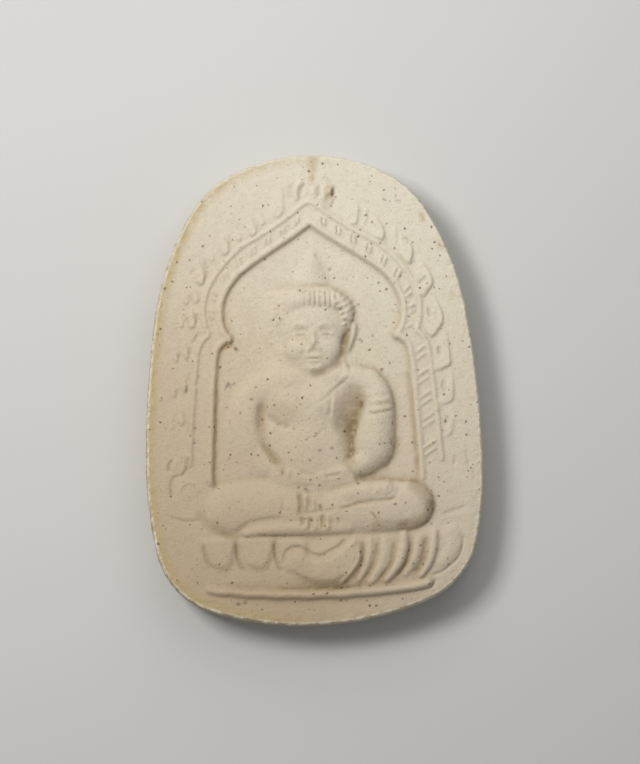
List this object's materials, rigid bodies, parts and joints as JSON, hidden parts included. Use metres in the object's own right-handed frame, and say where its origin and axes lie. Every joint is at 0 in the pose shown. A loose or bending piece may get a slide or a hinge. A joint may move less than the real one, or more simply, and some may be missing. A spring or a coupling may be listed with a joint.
{
  "type": "thai buddha amulet tablet",
  "caption": "Oval votive tablet of pressed powder with a seated figure in a cusped niche, in low relief on one side, flat on the other.",
  "frame": {"origin": "centre of the flat back, which rests on the surface", "axes": "+X to the viewer's right, +Y towards the crown of the tablet, +Z out of the moulded face"},
  "size_m": [0.025, 0.035, 0.0049],
  "materials": {
    "pressed_powder": "matte dried powder with fine dark specks"
  },
  "bodies": {
    "root": {"tablet": "pressed_powder"}
  },
  "joints": []
}
